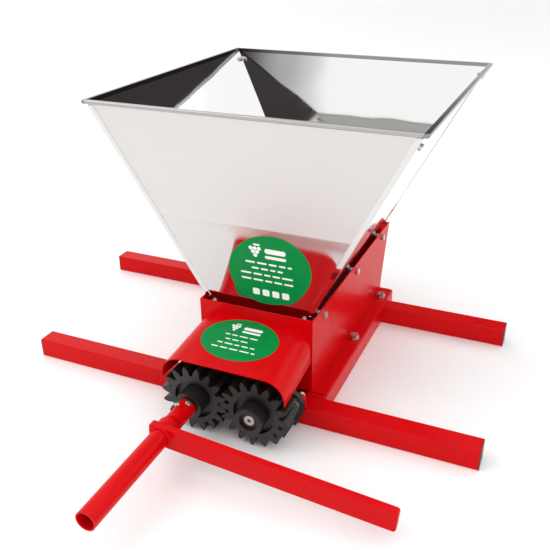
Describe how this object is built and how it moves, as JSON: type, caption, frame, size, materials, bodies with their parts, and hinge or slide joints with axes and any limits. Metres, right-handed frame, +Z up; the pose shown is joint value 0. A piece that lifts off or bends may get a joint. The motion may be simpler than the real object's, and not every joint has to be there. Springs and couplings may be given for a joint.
{
  "type": "grape crusher",
  "caption": "Hand-cranked roller crusher for grapes and fruit: tube frame, red crushing box with geared rollers, crank with handle tube and a tapered polished hopper.",
  "frame": {"origin": "middle of the underside of the front crossbar", "axes": "+X along the front crossbar to the right, +Y back along the rollers, +Z up"},
  "size_m": [0.758, 0.758, 0.422],
  "materials": {
    "red_paint": "gloss",
    "stainless": "mirror polished",
    "black_plastic": "satin moulded",
    "shaft_steel": "turned",
    "zinc_steel": "zinc plated",
    "roller_aluminium": "cast and turned",
    "green_label": "printed vinyl"
  },
  "bodies": {
    "frame": {"bearing_bar_bolts": "zinc_steel", "bearing_bar_nuts": "zinc_steel", "bearing_ear_bolts": "zinc_steel", "bearing_ear_nuts": "zinc_steel", "bearing_lugs": "red_paint", "bearing_plate_front": "black_plastic", "bearing_plate_rear": "black_plastic", "front_crossbar": "red_paint", "front_plate": "red_paint", "gear_guard": "red_paint", "guard_label": "green_label", "hopper_corner_bolts": "zinc_steel", "hopper_corner_nuts": "zinc_steel", "hopper_front": "stainless", "hopper_label": "green_label", "hopper_left": "stainless", "hopper_mount_bolts": "zinc_steel", "hopper_mount_nuts": "zinc_steel", "hopper_mount_spacers": "zinc_steel", "hopper_rear": "stainless", "hopper_right": "stainless", "hopper_strip_front_left": "stainless", "hopper_strip_front_right": "stainless", "hopper_strip_rear_left": "stainless", "hopper_strip_rear_right": "stainless", "rail_bolts": "zinc_steel", "rail_rivet_nuts": "zinc_steel", "rail_washers": "zinc_steel", "rear_cross_member": "red_paint", "rear_crossbar_left": "red_paint", "rear_crossbar_right": "red_paint", "rear_plate": "red_paint", "side_plate_left": "red_paint", "side_plate_right": "red_paint", "side_rail_left": "red_paint", "side_rail_right": "red_paint", "tube_end_caps": "black_plastic"},
    "drive": {"drive_shaft": "shaft_steel", "drive_roller": "roller_aluminium", "drive_gear": "black_plastic", "drive_gear_pin": "zinc_steel", "crank_socket": "red_paint", "crank_screws": "zinc_steel", "crank_arm": "red_paint", "handle_tube": "red_paint"},
    "driven": {"driven_shaft": "shaft_steel", "driven_roller": "roller_aluminium", "driven_gear": "black_plastic", "driven_gear_pin": "zinc_steel"}
  },
  "joints": [
    {"name": "crank_spin", "type": "hinge", "parent": "frame", "child": "drive", "pos_m": [-0.025, -0.015, 0.051], "axis": [0, 1, 0], "continuous": true},
    {"name": "driven_spin", "type": "hinge", "parent": "frame", "child": "driven", "pos_m": [0.063, -0.015, 0.051], "axis": [0, 1, 0], "continuous": true}
  ],
  "couplings": [
    {"joint": "driven_spin", "follows": "crank_spin", "ratio": -1}
  ]
}
